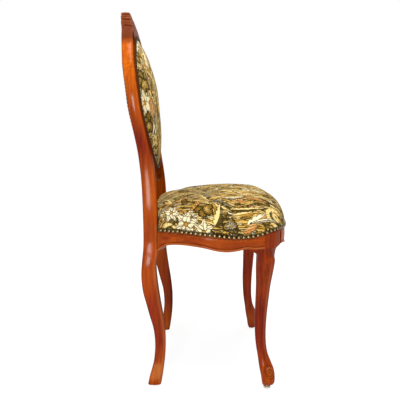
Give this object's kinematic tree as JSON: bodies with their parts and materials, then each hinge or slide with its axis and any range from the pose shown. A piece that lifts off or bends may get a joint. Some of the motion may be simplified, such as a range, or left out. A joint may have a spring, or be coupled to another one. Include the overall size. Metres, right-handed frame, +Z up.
{
  "type": "upholstered side chair",
  "caption": "Armless side chair with an oval upholstered back, carved crest, domed tapestry seat with close nailing, bowed rails and cabriole legs.",
  "frame": {"origin": "on the floor, under the middle of the chair's box", "axes": "+Z up, -Y towards the front of the seat, +X towards the sitter's left"},
  "size_m": [0.4774, 0.4529, 0.964],
  "materials": {
    "show_wood": "polished cherry-stained hardwood",
    "frame_wood": "unfinished beech",
    "tapestry": "woven floral tapestry",
    "nail_bronze": "antiqued bronze dome nails",
    "screw_steel": "plain steel",
    "jute": "jute webbing and hessian",
    "stuffing": "hair and wadding",
    "cambric": "black cambric",
    "glide": "pale moulded glide"
  },
  "bodies": {
    "root": {"rear_leg_left": "show_wood", "rear_leg_right": "show_wood", "front_leg_left": "show_wood", "front_leg_right": "show_wood", "side_rail_left": "show_wood", "side_rail_right": "show_wood", "front_rail": "show_wood", "rear_rail": "show_wood", "crest_rail": "show_wood", "lower_back_rail": "show_wood", "crest_dowel_left_1": "frame_wood", "crest_dowel_left_2": "frame_wood", "crest_dowel_right_1": "frame_wood", "crest_dowel_right_2": "frame_wood", "lower_dowel_left_1": "frame_wood", "lower_dowel_left_2": "frame_wood", "lower_dowel_right_1": "frame_wood", "lower_dowel_right_2": "frame_wood", "front_corner_block_left": "frame_wood", "front_corner_block_right": "frame_wood", "rear_corner_block_left": "frame_wood", "rear_corner_block_right": "frame_wood", "seat_cover": "tapestry", "back_cover": "tapestry", "outside_back": "tapestry", "seat_nailing_left": "nail_bronze", "seat_nailing_right": "nail_bronze", "seat_nailing_front": "nail_bronze", "seat_nailing_rear": "nail_bronze", "back_trim_front": "nail_bronze", "back_trim_rear": "nail_bronze", "front_block_left_screw_front": "screw_steel", "front_block_left_screw_side": "screw_steel", "front_block_right_screw_front": "screw_steel", "front_block_right_screw_side": "screw_steel", "rear_block_left_screw_rear": "screw_steel", "rear_block_left_screw_side": "screw_steel", "rear_block_right_screw_rear": "screw_steel", "rear_block_right_screw_side": "screw_steel", "webbing_along_1": "jute", "webbing_along_2": "jute", "webbing_along_3": "jute", "webbing_across_1": "jute", "webbing_across_2": "jute", "webbing_across_3": "jute", "seat_hessian": "jute", "back_hessian": "jute", "seat_stuffing": "stuffing", "back_stuffing": "stuffing", "dust_cover": "cambric", "front_glide_left": "glide", "front_glide_right": "glide", "rear_glide_left": "glide", "rear_glide_right": "glide"}
  },
  "joints": []
}
